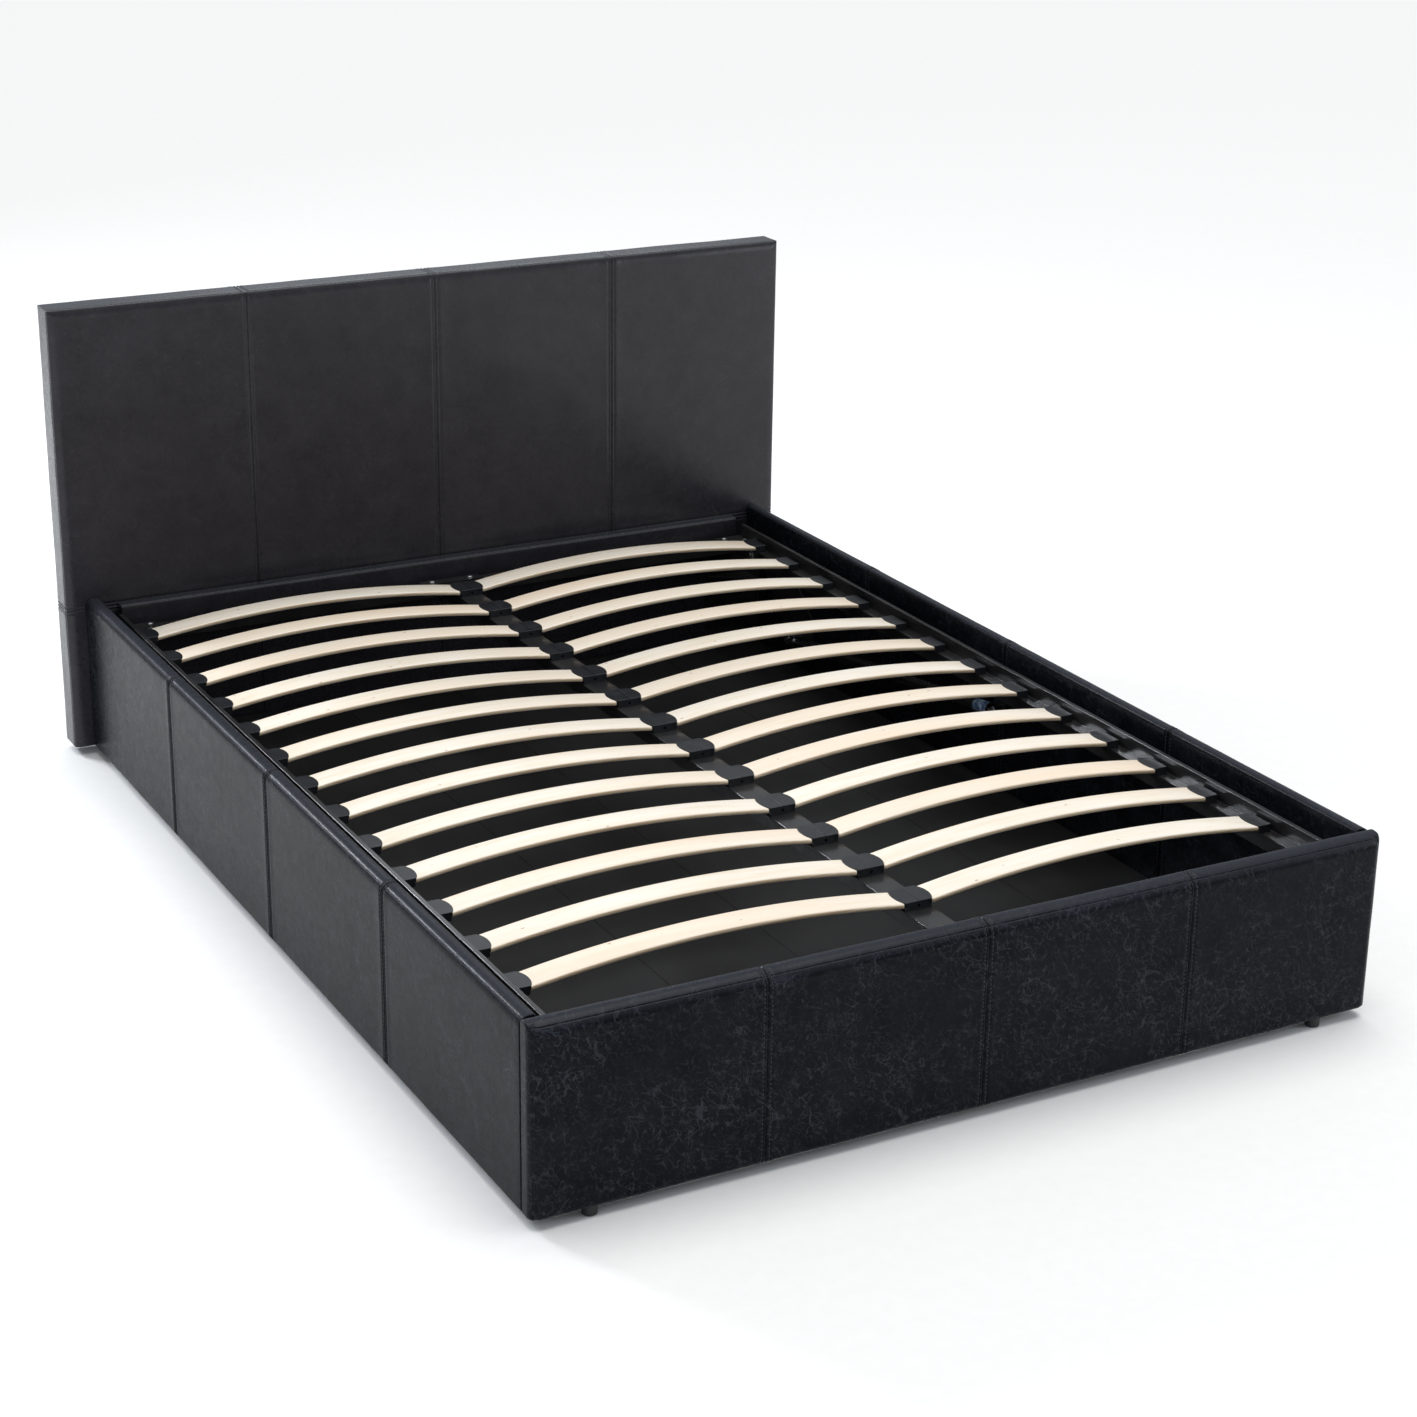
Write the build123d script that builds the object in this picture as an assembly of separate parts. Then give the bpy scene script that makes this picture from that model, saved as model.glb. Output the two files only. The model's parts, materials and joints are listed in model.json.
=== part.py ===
from build123d import *

import math
import os

# Ottoman storage bed for a double mattress: upholstered panels, a slatted platform that lifts at the
# foot end on two gas struts, and a storage box with a low floor.
# Millimetres, +Z up. The origin is on the floor, under the middle of the bed's outline. +Y points to
# the headboard and +X to the right-hand side of a person who stands at the foot of the bed.

# Mattress and the clear space round it
MATTRESS_WIDTH = 1350.0
MATTRESS_LENGTH = 1900.0
SIDE_GAP = 9.0
END_GAP = 5.0

# Upholstered panels, over their leather
RAIL_THICK = 27.5
RAIL_HEIGHT = 292.0
FOOT_THICK = 35.0
HEAD_THICK = 60.0
HEAD_WIDTH = 1494.0
HEAD_HEIGHT = 834.0
BOARD_THICK = 16.0
HEAD_BOARD_THICK = 24.0
LEATHER = 1.5
HEM = 2.0

# Glides under the panels and under the floor beams
GLIDE_HEIGHT = 15.0
GLIDE_RADIUS = 11.0
GLIDE_X = 618.0

# Lifting platform: stepped side tubes, cross tubes and a centre tube
STEEL_WALL = 1.5
SIDE_OUTER_X = 660.0
LEDGE_WIDTH = 21.5
LEDGE_INNER_X = 630.0
TUBE_BOTTOM = 213.0
TUBE_HEIGHT = 25.0
UPSTAND_HEIGHT = 26.0
CENTRE_TUBE_WIDTH = 48.0
CROSS_TUBE_WIDTH = 25.0
PLATFORM_FOOT_GAP = 13.0
PLATFORM_HEAD_GAP = 36.0
CORNER_RADIUS = 2.0

# Sprung slats in plastic holders
SLAT_ROWS = 13
SLAT_PITCH = 134.0
FIRST_SLAT_Y = -790.5
SLAT_WIDTH = 50.0
SLAT_THICK = 8.0
SLAT_EDGE = 2.0
SLAT_CAMBER = 26.0
SLAT_TONGUE_WIDTH = 42.0
SLAT_INNER_X = 8.0
SLAT_OUTER_X = 641.0
SLAT_INNER_SHOULDER = 23.0
SLAT_OUTER_SHOULDER = 623.0
SLAT_END_TOP = 247.5
HOLDER_TOP = 250.5
HOLDER_OUTER_X = 646.0
HOLDER_WIDTH = 51.0
LIP_BULGE = 8.0
POCKET_PLAY = 0.15

# Hinge and gas struts, in the plane beside each side tube
HINGE_Y = 825.0
HINGE_Z = 225.5
LIFT_LIMIT_DEG = 45.0
STRUT_X = 652.0
STRUT_BASE_Y = 700.0
STRUT_BASE_Z = 80.0
STRUT_TOP_Y = -41.5
STRUT_TOP_Z = 176.0
STRUT_RADIUS = 11.0
STRUT_WALL = 1.5
ROD_RADIUS = 5.0
RUNNING_CLEARANCE = 0.06
EYE_RADIUS = 10.0
EYE_WIDTH = 12.0
PIN_RADIUS = 5.0
HINGE_PIN_RADIUS = 6.0
PLATE_THICK = 4.0

# Storage floor
FLOOR_STRIPS = 6
FLOOR_THICK = 3.0
FLOOR_BEAM_THICK = 11.0
FLOOR_SEAM = 1.0

# Corner brackets
BRACKET_STEEL = 3.0
BRACKET_BOTTOM = 40.0
BRACKET_TOP = 180.0
GUSSET_Z = 148.0

# Worked out from the sizes above
INNER_WIDTH = MATTRESS_WIDTH + 2 * SIDE_GAP
INNER_LENGTH = MATTRESS_LENGTH + 2 * END_GAP
INNER_X = INNER_WIDTH / 2
OUTER_X = INNER_X + RAIL_THICK
TOTAL_LENGTH = FOOT_THICK + INNER_LENGTH + HEAD_THICK
FRONT_Y = -TOTAL_LENGTH / 2
FOOT_INNER_Y = FRONT_Y + FOOT_THICK
HEAD_INNER_Y = FOOT_INNER_Y + INNER_LENGTH
BACK_Y = TOTAL_LENGTH / 2
PLATFORM_FOOT_Y = FOOT_INNER_Y + PLATFORM_FOOT_GAP
PLATFORM_HEAD_Y = HEAD_INNER_Y - PLATFORM_HEAD_GAP
TUBE_TOP = TUBE_BOTTOM + TUBE_HEIGHT
STRUT_LENGTH = math.hypot(STRUT_BASE_Y - STRUT_TOP_Y, STRUT_BASE_Z - STRUT_TOP_Z)
FLOOR_TOP = FLOOR_BEAM_THICK + FLOOR_THICK
SIDES = {"left": -1, "right": 1}


def block(x, y, z):
    """Box from (low, high) pairs, with heights counted from the panels' lower edge."""
    centre = [(low + high) / 2 for low, high in (x, y, z)]
    size = [high - low for low, high in (x, y, z)]
    return Pos(centre[0], centre[1], centre[2] + GLIDE_HEIGHT) * Box(*size)


def cylinder_x(x, y, z, radius):
    """Round bar along X over the (low, high) pair x."""
    centre = Pos((x[0] + x[1]) / 2, y, z + GLIDE_HEIGHT)
    return centre * Rot(0, 90, 0) * Cylinder(radius, x[1] - x[0])


def cylinder_y(x, y, z, radius):
    """Round bar along Y over the (low, high) pair y."""
    centre = Pos(x, (y[0] + y[1]) / 2, z + GLIDE_HEIGHT)
    return centre * Rot(90, 0, 0) * Cylinder(radius, y[1] - y[0])


def cylinder_z(x, y, z, radius):
    """Round bar along Z over the (low, high) pair z."""
    return Pos(x, y, (z[0] + z[1]) / 2 + GLIDE_HEIGHT) * Cylinder(radius, z[1] - z[0])


def hex_head_x(x, y, z, across):
    """Hexagon head along X over the (low, high) pair x."""
    head = extrude(RegularPolygon(across / 2, 6, major_radius=False), x[1] - x[0])
    return Pos(x[0], y, z + GLIDE_HEIGHT) * Rot(0, 90, 0) * head


def profile_along_y(points, y):
    """Solid with an X-Z outline, drawn out over the (low, high) pair y."""
    wire = Polyline([(px, y[0], pz + GLIDE_HEIGHT) for px, pz in points], close=True)
    return extrude(make_face(wire), amount=y[1] - y[0], dir=(0, 1, 0))


def plate_along_x(points, x):
    """Plate with a Y-Z outline, drawn out over the (low, high) pair x."""
    wire = Polyline([(x[0], py, pz + GLIDE_HEIGHT) for py, pz in points], close=True)
    return extrude(make_face(wire), amount=x[1] - x[0], dir=(1, 0, 0))


def plate_along_z(points, z):
    """Plate with an X-Y outline, drawn out over the (low, high) pair z."""
    wire = Polyline([(px, py, z[0] + GLIDE_HEIGHT) for px, py in points], close=True)
    return extrude(make_face(wire), amount=z[1] - z[0], dir=(0, 0, 1))


def to_left(shape):
    """The same piece on the left-hand side of the bed."""
    return mirror(shape, about=Plane.YZ)


def for_side(shape, side):
    """A piece drawn on the right-hand side, moved to the named side."""
    return shape if side == "right" else to_left(shape)


def drill_x(shape, points, x, radius):
    """Holes along X at (y, z) points."""
    for y, z in points:
        shape = shape - cylinder_x(x, y, z, radius)
    return shape


def drill_z(shape, points, z, radius):
    """Holes along Z at (x, y) points."""
    for x, y in points:
        shape = shape - cylinder_z(x, y, z, radius)
    return shape


def drill_y(shape, points, y, radius):
    """Holes along Y at (x, z) points."""
    for x, z in points:
        shape = shape - cylinder_y(x, y, z, radius)
    return shape


# ---------------------------------------------------------------- upholstered panels

def soft_block(x, y, z, radius, round_ends):
    """Block with rounded upper edges and, where asked, rounded upright edges."""
    shape = block(x, y, z)
    edges = shape.faces().sort_by(Axis.Z)[-1].edges()
    if round_ends:
        edges = edges + shape.edges().filter_by(Axis.Z)
    else:
        edges = edges.filter_by(Axis.Y)
    return fillet(edges, radius)


def upholstered_panel(x, y, height, pads, radius, round_ends):
    """Board, foam and leather of one panel. pads are the foam's depths (x low, x high, y low, y high)."""
    outside = soft_block(x, y, (0, height), radius, round_ends)
    inset = LEATHER if round_ends else 0
    side = LEATHER if x[1] - x[0] < 100 or round_ends else 0
    foam_x = (x[0] + side, x[1] - side)
    foam_y = (y[0] + inset, y[1] - inset)
    foam_outside = soft_block(foam_x, foam_y, (HEM, height - LEATHER), radius - LEATHER, round_ends)
    foam_room = soft_block(foam_x, foam_y, (-HEM, height - LEATHER), radius - LEATHER, round_ends)
    board_x = (foam_x[0] + pads[0], foam_x[1] - pads[1])
    board_y = (foam_y[0] + pads[2], foam_y[1] - pads[3])
    board = block(board_x, board_y, (HEM, height - LEATHER - max(pads)))
    return board, foam_outside - board, outside - foam_room


def side_rail_parts():
    """Right-hand side rail: board, foam and leather, butted between the end panels."""
    pad = (RAIL_THICK - 2 * LEATHER - BOARD_THICK) / 2
    return upholstered_panel((INNER_X, OUTER_X), (FOOT_INNER_Y, HEAD_INNER_Y), RAIL_HEIGHT,
                             (pad, pad, 0, 0), 6.0, False)


def footboard_parts():
    """Low foot panel, which covers the ends of both side rails."""
    back_pad = 4.0
    front_pad = FOOT_THICK - 2 * LEATHER - BOARD_THICK - back_pad
    return upholstered_panel((-OUTER_X, OUTER_X), (FRONT_Y, FOOT_INNER_Y), RAIL_HEIGHT,
                             (3.0, 3.0, front_pad, back_pad), 8.0, True)


def headboard_parts():
    """Tall head panel, wider than the bed frame."""
    back_pad = 9.0
    front_pad = HEAD_THICK - 2 * LEATHER - HEAD_BOARD_THICK - back_pad
    return upholstered_panel((-HEAD_WIDTH / 2, HEAD_WIDTH / 2), (HEAD_INNER_Y, BACK_Y), HEAD_HEIGHT,
                             (10.0, 10.0, front_pad, back_pad), 12.0, True)


HEAD_STRIP_X = 650.0
HEAD_STRIP_THICK = 20.0
HEAD_STRIP_Z = (204.0, 275.0)
HEAD_STRIP_PAD = 3.0


def head_strip_parts():
    """Padded strip on the headboard's front that stops the mattress: board and leather."""
    y = (HEAD_INNER_Y - HEAD_STRIP_THICK, HEAD_INNER_Y)
    outside = block((-HEAD_STRIP_X, HEAD_STRIP_X), y, HEAD_STRIP_Z)
    front_corners = outside.faces().sort_by(Axis.Y)[0].edges()
    outside = fillet(front_corners, 5.0)
    board = block((-HEAD_STRIP_X + HEAD_STRIP_PAD, HEAD_STRIP_X - HEAD_STRIP_PAD),
                  (y[0] + HEAD_STRIP_PAD, y[1]),
                  (HEAD_STRIP_Z[0] + HEAD_STRIP_PAD, HEAD_STRIP_Z[1] - HEAD_STRIP_PAD))
    return board, outside - board


# ---------------------------------------------------------------- corner brackets and bolts

BRACKET_RAIL_LEG = 60.0
BRACKET_PANEL_LEG = 95.0
BRACKET_BOLT_Z = (66.0, 122.0)
BRACKET_BOLT_INSET = 32.0
BOLT_RADIUS = 3.0
BOLT_HEAD = 4.0
BOLT_HEAD_RADIUS = 6.5


def corner_bracket():
    """Right-hand head corner: two upright legs and a level gusset plate."""
    y = HEAD_INNER_Y
    z = (BRACKET_BOTTOM, BRACKET_TOP)
    rail_leg = block((INNER_X - BRACKET_STEEL, INNER_X), (y - BRACKET_RAIL_LEG, y), z)
    panel_leg = block((INNER_X - BRACKET_PANEL_LEG, INNER_X), (y - BRACKET_STEEL, y), z)
    gusset = plate_along_z([(INNER_X, y), (INNER_X - BRACKET_PANEL_LEG, y),
                            (INNER_X, y - BRACKET_RAIL_LEG)], (GUSSET_Z, GUSSET_Z + BRACKET_STEEL))
    shape = rail_leg + panel_leg + gusset
    shape = drill_x(shape, [(y - BRACKET_BOLT_INSET, z) for z in BRACKET_BOLT_Z],
                    (INNER_X - 10, INNER_X + 10), BOLT_RADIUS)
    return drill_y(shape, [(INNER_X - 2 * BRACKET_BOLT_INSET, z) for z in BRACKET_BOLT_Z],
                   (y - 10, y + 10), BOLT_RADIUS)


def corner_bracket_bolts():
    """The four bolts of the right-hand head corner."""
    y = HEAD_INNER_Y
    bolts = []
    for z in BRACKET_BOLT_Z:
        rail_y = y - BRACKET_BOLT_INSET
        inner = INNER_X - BRACKET_STEEL
        bolts.append(cylinder_x((inner - BOLT_HEAD, inner), rail_y, z, BOLT_HEAD_RADIUS)
                     + cylinder_x((inner, INNER_X + 16), rail_y, z, BOLT_RADIUS))
        panel_x = INNER_X - 2 * BRACKET_BOLT_INSET
        face = y - BRACKET_STEEL
        bolts.append(cylinder_y(panel_x, (face - BOLT_HEAD, face), z, BOLT_HEAD_RADIUS)
                     + cylinder_y(panel_x, (face, y + 16), z, BOLT_RADIUS))
    return bolts


def to_foot(shape):
    """A head-corner piece, moved to the matching foot corner."""
    return Pos(0, FOOT_INNER_Y + HEAD_INNER_Y, 0) * mirror(shape, about=Plane.XZ)


def all_corners(shape):
    """The same piece at all four inside corners."""
    pair = [shape, to_foot(shape)]
    return pair + [to_left(piece) for piece in pair]


# ---------------------------------------------------------------- hinge plates and rest brackets

HINGE_PLATE_OUTLINE = [(655.0, 45.0), (745.0, 45.0), (865.0, 190.0), (865.0, 246.0), (795.0, 246.0),
                       (655.0, 120.0)]
HINGE_PLATE_BOLTS = [(675.0, 62.0), (727.0, 62.0), (815.0, 160.0), (850.0, 205.0), (722.0, 140.0)]
REST_Y = (-905.0, -865.0)
REST_TAB_Z = 203.0
REST_DROP = 55.0
REST_BOLT_Z = 170.0
PAD_GAP = 0.3


def hinge_plate():
    """Right-hand steel plate on the rail's inner face, with a boss under the hinge pin."""
    x = (INNER_X - PLATE_THICK, INNER_X)
    plate = plate_along_x(HINGE_PLATE_OUTLINE, x)
    plate = fillet(plate.edges().filter_by(Axis.X), 8.0)
    boss = cylinder_x((SIDE_OUTER_X + 1.0, x[0]), HINGE_Y, HINGE_Z, 12.0)
    foot = cylinder_x((STRUT_X + EYE_WIDTH / 2 + 4.0, x[0]), STRUT_BASE_Y, STRUT_BASE_Z, 9.0)
    plate = plate + boss + foot
    plate = drill_x(plate, HINGE_PLATE_BOLTS, (x[0] - 1, x[1] + 1), BOLT_RADIUS)
    plate = drill_x(plate, [(HINGE_Y, HINGE_Z)], (0, INNER_X), HINGE_PIN_RADIUS)
    return drill_x(plate, [(STRUT_BASE_Y, STRUT_BASE_Z)], (0, INNER_X), PIN_RADIUS)


def hinge_pin():
    """Right-hand hinge pin, through the boss and the side tube, with a round head inside."""
    shank = cylinder_x((LEDGE_INNER_X - 3.0, INNER_X), HINGE_Y, HINGE_Z, HINGE_PIN_RADIUS)
    head = cylinder_x((LEDGE_INNER_X - 7.0, LEDGE_INNER_X - 3.0), HINGE_Y, HINGE_Z, 10.0)
    return shank + fillet(head.edges().sort_by(Axis.X)[0], 1.5)


def strut_base_stud():
    """Right-hand stud beside the strut's lower eye, the open pivot: its tip stops short of the eye."""
    tip = STRUT_X + EYE_WIDTH / 2 + 0.5
    return cylinder_x((tip, INNER_X), STRUT_BASE_Y, STRUT_BASE_Z, PIN_RADIUS)


def rest_bracket():
    """Right-hand angle on the rail that the side tube rests on when the platform is down."""
    upright = block((INNER_X - BRACKET_STEEL, INNER_X), REST_Y, (REST_TAB_Z - REST_DROP, REST_TAB_Z))
    tab = block((LEDGE_INNER_X + 4.0, INNER_X), REST_Y, (REST_TAB_Z, REST_TAB_Z + BRACKET_STEEL))
    middle = sum(REST_Y) / 2
    return drill_x(upright + tab, [(middle, REST_BOLT_Z)], (INNER_X - 10, INNER_X + 5), BOLT_RADIUS)


def rest_pad():
    """Right-hand rubber pad between the rest bracket and the side tube."""
    y = (REST_Y[0] + 5.0, REST_Y[1] - 5.0)
    pad = block((LEDGE_INNER_X + 6.0, SIDE_OUTER_X - 4.0), y,
                (REST_TAB_Z + BRACKET_STEEL, TUBE_BOTTOM - PAD_GAP))
    return fillet(pad.edges().filter_by(Axis.Z), 4.0)


def rail_bolt(y, z, under):
    """Round-headed bolt into the right-hand rail, with its head on a plate of the given thickness."""
    face = INNER_X - under
    head = cylinder_x((face - BOLT_HEAD, face), y, z, BOLT_HEAD_RADIUS)
    return head + cylinder_x((face, INNER_X + 16), y, z, BOLT_RADIUS)


def rail_hardware_bolts():
    """Bolts of the right-hand hinge plate and rest bracket."""
    bolts = [rail_bolt(y, z, PLATE_THICK) for y, z in HINGE_PLATE_BOLTS]
    bolts.append(rail_bolt(sum(REST_Y) / 2, REST_BOLT_Z, BRACKET_STEEL))
    return bolts


def rail_bolt_points():
    """Every (y, z) place where a bolt enters a side rail."""
    points = list(HINGE_PLATE_BOLTS) + [(sum(REST_Y) / 2, REST_BOLT_Z)]
    for z in BRACKET_BOLT_Z:
        points.append((HEAD_INNER_Y - BRACKET_BOLT_INSET, z))
        points.append((FOOT_INNER_Y + BRACKET_BOLT_INSET, z))
    return points


def end_bolt_points():
    """Every (x, z) place where a bolt enters the headboard or the footboard."""
    x = INNER_X - 2 * BRACKET_BOLT_INSET
    return [(sign * x, z) for sign in (-1, 1) for z in BRACKET_BOLT_Z]


# ---------------------------------------------------------------- storage floor and glides

FLOOR_BEAM_WIDTH = 60.0
FLOOR_BEAMS_Y = (-700.0, 0.0, 700.0)
CENTRE_BEAM_Y = (FOOT_INNER_Y, HEAD_INNER_Y)


def floor_strips():
    """Hinged strips of thin board that make the storage floor, left to right."""
    pitch = INNER_WIDTH / FLOOR_STRIPS
    strips = []
    for index in range(FLOOR_STRIPS):
        low = -INNER_X + index * pitch
        strips.append(block((low + FLOOR_SEAM / 2, low + pitch - FLOOR_SEAM / 2),
                            (FOOT_INNER_Y + 4.0, HEAD_INNER_Y - 4.0), (FLOOR_BEAM_THICK, FLOOR_TOP)))
    return strips


def floor_centre_beam():
    """Flat batten down the middle of the floor, in one length."""
    half = FLOOR_BEAM_WIDTH / 2
    return block((-half, half), CENTRE_BEAM_Y, (0, FLOOR_BEAM_THICK))


def floor_cross_beams():
    """Flat battens from the centre batten to each rail."""
    half = FLOOR_BEAM_WIDTH / 2
    beams = []
    for y in FLOOR_BEAMS_Y:
        beam = block((half, INNER_X), (y - half, y + half), (0, FLOOR_BEAM_THICK))
        beams += [beam, to_left(beam)]
    return beams


def floor_ledges():
    """Battens along the rails that carry the outer edges of the floor, between the cross battens."""
    half = FLOOR_BEAM_WIDTH / 2
    ends = [FOOT_INNER_Y] + [y + side * half for y in FLOOR_BEAMS_Y for side in (-1, 1)] + [HEAD_INNER_Y]
    ledges = []
    for low, high in zip(ends[0::2], ends[1::2]):
        ledge = block((INNER_X - 22.0, INNER_X), (low, high), (0, FLOOR_BEAM_THICK))
        ledges += [ledge, to_left(ledge)]
    return ledges


def glide_points():
    """(x, y) of every glide: footboard, headboard and centre batten."""
    foot_y = FRONT_Y + FOOT_THICK / 2
    head_y = BACK_Y - HEAD_THICK / 2
    points = [(sign * GLIDE_X, y) for y in (foot_y, head_y) for sign in (-1, 1)]
    return points + [(0.0, y) for y in FLOOR_BEAMS_Y]


def foot_glides():
    """Round plastic glides with a softened lower edge."""
    glides = []
    for x, y in glide_points():
        top = 0.0 if x == 0.0 else HEM
        glide = cylinder_z(x, y, (-GLIDE_HEIGHT, top), GLIDE_RADIUS)
        glides.append(chamfer(glide.edges().sort_by(Axis.Z)[0], 1.5))
    return glides


# ---------------------------------------------------------------- lifting platform

def stepped_outline(inset):
    """Outline of the side tube's section, moved inwards by inset."""
    outer = SIDE_OUTER_X - inset
    ledge = LEDGE_INNER_X + inset
    step = LEDGE_INNER_X + LEDGE_WIDTH + inset
    low, middle = TUBE_BOTTOM + inset, TUBE_TOP - inset
    high = TUBE_TOP + UPSTAND_HEIGHT - inset
    return [(ledge, low), (outer, low), (outer, high), (step, high), (step, middle), (ledge, middle)]


def hollow_along_y(outline, hole_outline, y):
    """Closed tube of any section along Y, with its outer corners softened."""
    outside = profile_along_y(outline, y)
    outside = fillet(outside.edges().filter_by(Axis.Y), STEEL_WALL)
    return outside - profile_along_y(hole_outline, (y[0] - 1, y[1] + 1))


def platform_side():
    """Right-hand side tube: a ledge for the slat holders and an upstand beside the mattress."""
    y = (PLATFORM_FOOT_Y, PLATFORM_HEAD_Y)
    tube = hollow_along_y(stepped_outline(0), stepped_outline(STEEL_WALL), y)
    tube = drill_x(tube, [(HINGE_Y, HINGE_Z)], (LEDGE_INNER_X - 1, SIDE_OUTER_X + 1),
                   HINGE_PIN_RADIUS + RUNNING_CLEARANCE + 2.0)
    return tube


def hinge_bush():
    """Right-hand flanged nylon bush in the side tube, round the hinge pin."""
    body = cylinder_x((LEDGE_INNER_X, SIDE_OUTER_X), HINGE_Y, HINGE_Z, HINGE_PIN_RADIUS + 2.0)
    inner_flange = cylinder_x((LEDGE_INNER_X - 2.0, LEDGE_INNER_X), HINGE_Y, HINGE_Z, 10.5)
    return drill_x(body + inner_flange, [(HINGE_Y, HINGE_Z)], (LEDGE_INNER_X - 5, INNER_X),
                   HINGE_PIN_RADIUS + RUNNING_CLEARANCE)


def square_outline(low, high, inset):
    """Rectangle from (low, high) along one axis, at the height of the cross tubes."""
    bottom, top = TUBE_BOTTOM + inset, TUBE_TOP - inset
    return [(low + inset, bottom), (high - inset, bottom), (high - inset, top), (low + inset, top)]


def platform_centre_tube():
    """Tube down the middle that carries the double slat holders."""
    half = CENTRE_TUBE_WIDTH / 2
    y = (PLATFORM_FOOT_Y + CROSS_TUBE_WIDTH, PLATFORM_HEAD_Y - CROSS_TUBE_WIDTH)
    return hollow_along_y(square_outline(-half, half, 0), square_outline(-half, half, STEEL_WALL), y)


def cross_tube_half(y_low):
    """Right-hand half of a cross tube that starts at y_low."""
    y = (y_low, y_low + CROSS_TUBE_WIDTH)
    outside = block((0.5, LEDGE_INNER_X), y, (TUBE_BOTTOM, TUBE_TOP))
    outside = fillet(outside.edges().filter_by(Axis.X), STEEL_WALL)
    hollow = block((-1, LEDGE_INNER_X + 1), (y[0] + STEEL_WALL, y[1] - STEEL_WALL),
                   (TUBE_BOTTOM + STEEL_WALL, TUBE_TOP - STEEL_WALL))
    return outside - hollow


JOIN_PLATE_X = 62.0
JOIN_BOLT_X = 40.0
CORNER_PLATE = 60.0
CORNER_BOLT_INSET = 12.5


def join_plate(y_low):
    """Plate over the joint between the two halves of a cross tube."""
    z = (TUBE_TOP, TUBE_TOP + BRACKET_STEEL)
    plate = block((-JOIN_PLATE_X, JOIN_PLATE_X), (y_low, y_low + CROSS_TUBE_WIDTH), z)
    return fillet(plate.edges().filter_by(Axis.Z), 3.0)


def corner_plate(y_corner, towards):
    """Right-hand triangular plate over a corner of the platform; towards is +1 or -1 along Y."""
    x = LEDGE_INNER_X + LEDGE_WIDTH - 2.0
    z = (TUBE_TOP, TUBE_TOP + BRACKET_STEEL)
    return plate_along_z([(x, y_corner), (x, y_corner + towards * CORNER_PLATE),
                          (x - CORNER_PLATE, y_corner)], z)


def platform_join_plates():
    """Joining plates at the middle and corner plates at the ends."""
    plates = [join_plate(PLATFORM_FOOT_Y), join_plate(PLATFORM_HEAD_Y - CROSS_TUBE_WIDTH)]
    for y, towards in ((PLATFORM_FOOT_Y, 1), (PLATFORM_HEAD_Y, -1)):
        corner = corner_plate(y, towards)
        plates += [corner, to_left(corner)]
    return plates


def plate_bolt_points():
    """(x, y) of the bolts through the joining and corner plates."""
    points = []
    for y in (PLATFORM_FOOT_Y + CROSS_TUBE_WIDTH / 2, PLATFORM_HEAD_Y - CROSS_TUBE_WIDTH / 2):
        points += [(sign * JOIN_BOLT_X, y) for sign in (-1, 1)]
        points += [(sign * (LEDGE_INNER_X - 2 * CORNER_BOLT_INSET), y) for sign in (-1, 1)]
    for y in (PLATFORM_FOOT_Y + CORNER_PLATE - 22.0, PLATFORM_HEAD_Y - CORNER_PLATE + 22.0):
        points += [(sign * (LEDGE_INNER_X + CORNER_BOLT_INSET - 2.0), y) for sign in (-1, 1)]
    return points


def platform_bolt(x, y):
    """Button-headed bolt through a plate and the upper wall of a tube."""
    top = TUBE_TOP + BRACKET_STEEL
    head = cylinder_z(x, y, (top, top + 3.0), 5.5)
    head = fillet(head.edges().sort_by(Axis.Z)[-1], 1.8)
    return head + cylinder_z(x, y, (TUBE_TOP - 6.0, top), BOLT_RADIUS)


def strut_lug():
    """Right-hand lug on the side tube's outer face, for the upper end of the gas strut."""
    y, z = STRUT_TOP_Y, STRUT_TOP_Z
    lug = plate_along_x([(y - 26, 250), (y + 26, 250), (y + 26, TUBE_BOTTOM), (y + 13, z - 14),
                         (y - 13, z - 14), (y - 26, TUBE_BOTTOM)], (SIDE_OUTER_X, SIDE_OUTER_X + PLATE_THICK))
    lug = fillet(lug.edges().filter_by(Axis.X), 5.0)
    return drill_x(lug, [(y, z)], (SIDE_OUTER_X - 5, INNER_X), PIN_RADIUS)


def strut_top_pin():
    """Right-hand shouldered pin through the lug and the strut's upper eye, with a hexagon head."""
    y, z = STRUT_TOP_Y, STRUT_TOP_Z
    eye_inner = STRUT_X - EYE_WIDTH / 2
    eye_outer = STRUT_X + EYE_WIDTH / 2
    shank = cylinder_x((eye_inner - 2.0, SIDE_OUTER_X + PLATE_THICK + 2.0), y, z, PIN_RADIUS)
    washer = cylinder_x((eye_inner - 2.0, eye_inner - 0.5), y, z, 9.0)
    head = hex_head_x((eye_inner - 8.0, eye_inner - 2.0), y, z, 15.0)
    spacer = cylinder_x((eye_outer + 0.5, SIDE_OUTER_X), y, z, 7.5)
    return shank + washer + head + spacer


# ---------------------------------------------------------------- slats and their holders

def slat_section(thicken):
    """Curved X-Z section of a right-hand slat, thickened by the given amount above and below."""
    middle = (SLAT_INNER_X + SLAT_OUTER_X) / 2
    top = SLAT_END_TOP + GLIDE_HEIGHT + thicken
    low = top - SLAT_THICK - 2 * thicken
    upper = ThreePointArc((SLAT_INNER_X, 0, top), (middle, 0, top + SLAT_CAMBER), (SLAT_OUTER_X, 0, top))
    lower = ThreePointArc((SLAT_INNER_X, 0, low), (middle, 0, low + SLAT_CAMBER), (SLAT_OUTER_X, 0, low))
    ends = [Line(upper @ 0, lower @ 0), Line(upper @ 1, lower @ 1)]
    return make_face([upper, lower] + ends)


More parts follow.
